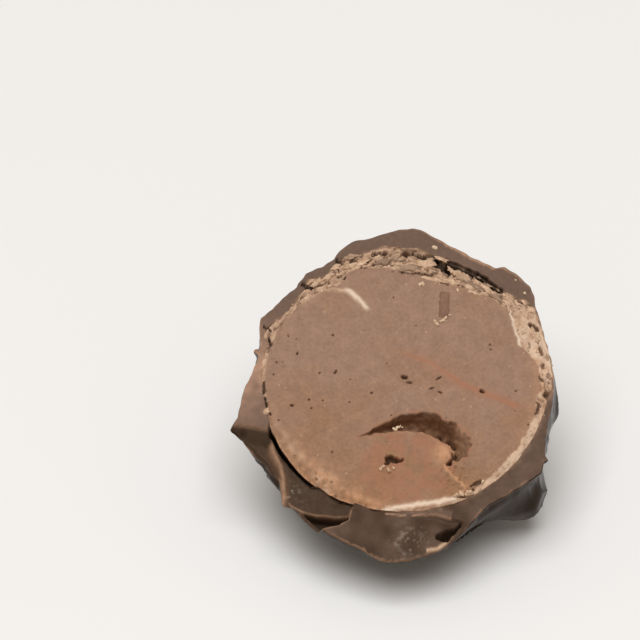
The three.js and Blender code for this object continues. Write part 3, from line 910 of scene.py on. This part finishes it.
debris = {
    "plates": (  # x, y, length, width, heading, brownness
        (-5.0, 13.45, 2.3, 0.55, 8, 0.5), (-4.4, 12.6, 2.6, 0.5, 18, 0.0), (-1.9, 12.95, 1.9, 0.7, 8, 0.9),
        (-0.9, 12.2, 1.3, 0.4, 0, 0.1), (0.8, 12.2, 2.1, 0.6, 2, 0.7), (2.0, 12.6, 1.9, 0.9, -10, 0.0),
        (3.6, 13.15, 1.4, 0.4, -22, 0.1), (4.6, 11.9, 1.1, 0.45, -40, 0.1),
        (2.6, 11.05, 2.3, 0.45, -10, 0.05), (4.4, 10.75, 1.9, 0.5, -14, 0.0),
        (5.5, 11.35, 1.9, 0.8, -28, 0.35), (6.8, 10.3, 2.2, 0.5, -30, 0.9), (8.7, 9.2, 2.0, 0.4, -38, 0.8),
        (7.9, 10.0, 1.3, 0.5, -38, 0.1), (-6.5, 12.2, 1.0, 0.5, 30, 0.1), (-7.2, 11.3, 1.4, 0.5, 35, 0.15),
        (-8.3, 10.7, 1.3, 0.6, 40, 0.2), (-13.1, 5.2, 0.9, 0.4, 70, 0.2), (13.35, 1.35, 1.0, 0.8, 70, 0.0),
        (12.6, 4.9, 1.1, 0.6, -65, 0.1), (-13.0, -2.65, 0.8, 0.6, 80, 0.05),
    ),
    "flakes": 170,
    "crumbs": 170,
    "placed": (  # x, y, size, paleness
        (1.75, 10.4, 0.75, 0.6), (5.15, 9.8, 0.5, 0.6), (3.1, 6.4, 0.85, 0.6), (3.55, 6.65, 0.5, 0.6),
        (3.95, 6.9, 0.6, 0.6), (4.35, 7.2, 0.35, 0.6), (-0.75, -4.5, 0.65, 0.9), (-0.35, -4.25, 0.5, 0.9),
        (-2.1, -8.6, 0.7, 0.1), (-1.5, -8.8, 0.9, 0.0), (-0.9, -8.6, 0.65, 0.1), (3.1, 14.35, 0.8, 0.6),
        (10.6, 10.9, 0.4, 0.3), (11.6, 9.5, 0.45, 0.3), (4.9, -11.5, 0.7, 0.2), (5.4, -11.25, 0.9, 0.1),
        (6.0, -10.9, 0.7, 0.2), (7.4, -10.0, 0.6, 0.4),
    ),
}


def flakeMaterial():
    material, tree, shader = newMaterial("brokenGanache", 0.85, 0.2)
    place = inMillimetres(tree)
    fine = useGroup(tree, mottle, Vector=place, Size=0.2, Contrast=1.2)
    colour = mixColours(tree, mark(tree, "brown"), crumbColour(tree, place), (0.27, 0.17, 0.115, 1))
    colour = mixColours(tree, mark(tree, "pale"), colour, (0.80, 0.62, 0.43, 1))
    shade = stretched(tree, fine, 0.0, 1.0, 0.8, 1.15)
    colour = mixColours(tree, 1.0, colour, shade, "MULTIPLY")
    tree.links.new(colour, shader.inputs["Base Color"])
    tree.links.new(bumped(tree, fine, 0.04), shader.inputs["Normal"])
    return material


def addFlake(bm, layer, at, long, wide, thick, heading, tilt, brown, rng, fine=(4, 3)):
    made = bmesh.ops.create_grid(bm, x_segments=fine[0], y_segments=fine[1], size=0.5)["verts"]
    seed = rng.uniform(0, 50)
    for vertex in made:
        u, v = vertex.co.x * 2, vertex.co.y * 2
        uneven = 1 + 0.45 * ripple(u * 1.7, v * 1.7, 0, seed)
        vertex.co.x = 0.5 * u * long * math.sqrt(1 - 0.45 * v * v) * uneven
        vertex.co.y = 0.5 * v * wide * math.sqrt(1 - 0.45 * u * u) * uneven
        vertex.co.z = 0.10 * wide * ripple(u * 2, v * 2, 3, seed) - 0.12 * wide * (u * u + v * v)
    faces = list({face for vertex in made for face in vertex.link_faces})
    grown = bmesh.ops.solidify(bm, geom=faces, thickness=thick)["geom"]
    verts = set(made) | {part for part in grown if isinstance(part, bmesh.types.BMVert)}
    for vertex in verts:
        vertex[layer] = brown
    turn = Euler((tilt, 0, heading)).to_matrix().to_4x4()
    bmesh.ops.transform(bm, matrix=Matrix.Translation(at) @ turn, verts=list(verts))


def addCrumb(bm, layer, at, size, rng, subdivisions=1, pale=0.0):
    made = bmesh.ops.create_icosphere(bm, subdivisions=subdivisions, radius=0.5)["verts"]
    shape = Matrix.Diagonal((rng.uniform(0.8, 1.3), rng.uniform(0.6, 1.1), rng.uniform(0.5, 0.8), 1))
    turn = Euler([rng.uniform(0, 6.3) for _ in range(3)]).to_matrix().to_4x4()
    for vertex in made:
        vertex.co *= size * rng.uniform(0.75, 1.1)
        vertex[layer] = pale
    bmesh.ops.transform(bm, matrix=Matrix.Translation(at) @ turn @ shape, verts=made)


def polar(around, far):
    a = math.radians(around)
    return far * math.cos(a), far * math.sin(a) + hollow["rise"]


def shapeFlakes():
    bm = bmesh.new()
    layer = bm.verts.layers.float.new("brown")
    rng = random.Random(7)
    for x, y, long, wide, heading, brown in debris["plates"]:
        tilt = rng.uniform(-0.12, 0.12)
        at = Vector((x, y, 0.02 + rng.uniform(0, 0.08)))
        addFlake(bm, layer, at, long, wide, 0.14, math.radians(heading), tilt, brown, rng, (9, 6))
    for _ in range(debris["flakes"]):
        around = rng.uniform(32, 150) if rng.random() < 0.88 else rng.uniform(-4, 32)
        clean, start = jointAt(around)
        far = rng.uniform(clean - 0.05, start + 0.05)
        x, y = polar(around, far)
        long = rng.uniform(0.3, 1.1) * min(1.0, 0.4 + start - clean)
        z, marks = ganacheHeight(x, y)
        if marks["hollow"] > 0.5 and rng.random() < 0.8:
            continue
        heading = math.radians(around + 90 + rng.gauss(0, 18))
        at = Vector((x, y, max(z, -0.4) + rng.uniform(0.0, 0.08)))
        wide = long * rng.uniform(0.3, 0.6)
        tilt = rng.gauss(0, 0.3)
        addFlake(bm, layer, at, long, wide, 0.08, heading, tilt, rng.random() ** 2, rng)
    bmesh.ops.recalc_face_normals(bm, faces=bm.faces)
    return bm


def shapeCrumbs():
    bm = bmesh.new()
    layer = bm.verts.layers.float.new("pale")
    rng = random.Random(11)
    for x, y, size, pale in debris["placed"]:
        z = max(ganacheHeight(x, y)[0], -0.2) if math.hypot(x, y) < 13 else 0.0
        for _ in range(3):
            shift = Vector((rng.gauss(0, 0.16), rng.gauss(0, 0.10), 0)) * size
            at = Vector((x, y, z + 0.12 * size)) + shift
            addCrumb(bm, layer, at, size * rng.uniform(0.4, 0.75), rng, 2, pale)
    for _ in range(debris["crumbs"]):
        around = rng.uniform(-60, 190)
        clean, start = jointAt(turnFrom(around, 0))
        far = rng.uniform(clean - 0.3, start + 0.2) if rng.random() < 0.85 else 13.3 * math.sqrt(rng.random())
        x, y = polar(around, far)
        z, _ = ganacheHeight(x, y)
        addCrumb(bm, layer, Vector((x, y, max(z, -0.4) + 0.02)), rng.uniform(0.07, 0.24), rng)
    bmesh.ops.recalc_face_normals(bm, faces=bm.faces)
    return bm


finishPiece(shapeCoat(), "coatingShell", coatMaterial(), "coating")
finishPiece(shapeGanache(), "ganacheFilling", ganacheMaterial(), "ganache")
brokenGanache = flakeMaterial()
finishPiece(shapeFlakes(), "ganacheFlakes", brokenGanache)
finishPiece(shapeCrumbs(), "ganacheCrumbs", brokenGanache)
print("truffle made")


# --- Table, light and camera

stage = {
    "floorSize": 3.0,
    "floorColour": (0.955, 0.945, 0.94, 1),
    "skyColour": (1.0, 0.91, 0.79, 1),
    "skyStrength": 0.31,
    "keyColour": (0.97, 0.985, 1.0),
    "keySize": 1.1,
    "keyPlace": (-0.06, -0.50, 1.40),
    "keyPower": 18.7,
    "around": 0,
    "above": 38,
    "away": 0.800,
    "frameWide": 0.06066,  # how much the view takes in at the truffle
    "aimLeft": 0.00796,
    "aimUp": 0.00616,
}


def makeFloor():
    bm = bmesh.new()
    bmesh.ops.create_grid(bm, x_segments=1, y_segments=1, size=stage["floorSize"] / 2)
    mesh = bpy.data.meshes.new("table")
    bm.to_mesh(mesh)
    bm.free()
    material, tree, shader = newMaterial("paleTable", 0.6, 0.3)
    place = addNode(tree, "ShaderNodeTexCoord").outputs["Object"]
    cloudy = useGroup(tree, mottle, Vector=place, Size=0.05, Contrast=0.6)
    base = stage["floorColour"]
    darker = tuple(0.985 * value for value in base[:3]) + (1,)
    tree.links.new(mixColours(tree, cloudy, darker, base), shader.inputs["Base Color"])
    mesh.materials.append(material)
    floor = bpy.data.objects.new("table", mesh)
    bpy.context.scene.collection.objects.link(floor)


def makeLight():
    world = bpy.data.worlds.new("studio")
    world.use_nodes = True
    background = world.node_tree.nodes["Background"]
    background.inputs["Color"].default_value = stage["skyColour"]
    background.inputs["Strength"].default_value = stage["skyStrength"]
    bpy.context.scene.world = world
    lamp = bpy.data.lights.new("softbox", "AREA")
    lamp.shape = "SQUARE"
    lamp.size = stage["keySize"]
    lamp.energy = stage["keyPower"]
    lamp.color = stage["keyColour"]
    box = bpy.data.objects.new("softbox", lamp)
    box.location = stage["keyPlace"]
    box.rotation_euler = (Vector((0, 0, 0.01)) - box.location).to_track_quat("-Z", "Y").to_euler()
    bpy.context.scene.collection.objects.link(box)


def makeCamera():
    a, e = math.radians(stage["around"]), math.radians(stage["above"])
    back = Vector((math.sin(a) * math.cos(e), -math.cos(a) * math.cos(e), math.sin(e)))
    right = Vector((math.cos(a), math.sin(a), 0))
    up = back.cross(right)
    aim = toRow.to_translation() - right * stage["aimLeft"] + up * stage["aimUp"]
    lens = bpy.data.cameras.new("camera")
    lens.sensor_width = 36
    lens.lens = 36 * stage["away"] / stage["frameWide"]
    lens.clip_start = 0.01
    camera = bpy.data.objects.new("camera", lens)
    camera.location = aim + back * stage["away"]
    camera.rotation_euler = Matrix((right, up, back)).transposed().to_euler()
    bpy.context.scene.collection.objects.link(camera)
    bpy.context.scene.camera = camera


makeFloor()
makeLight()
makeCamera()
bpy.context.scene.view_settings.view_transform = "Standard"
print("stage set")
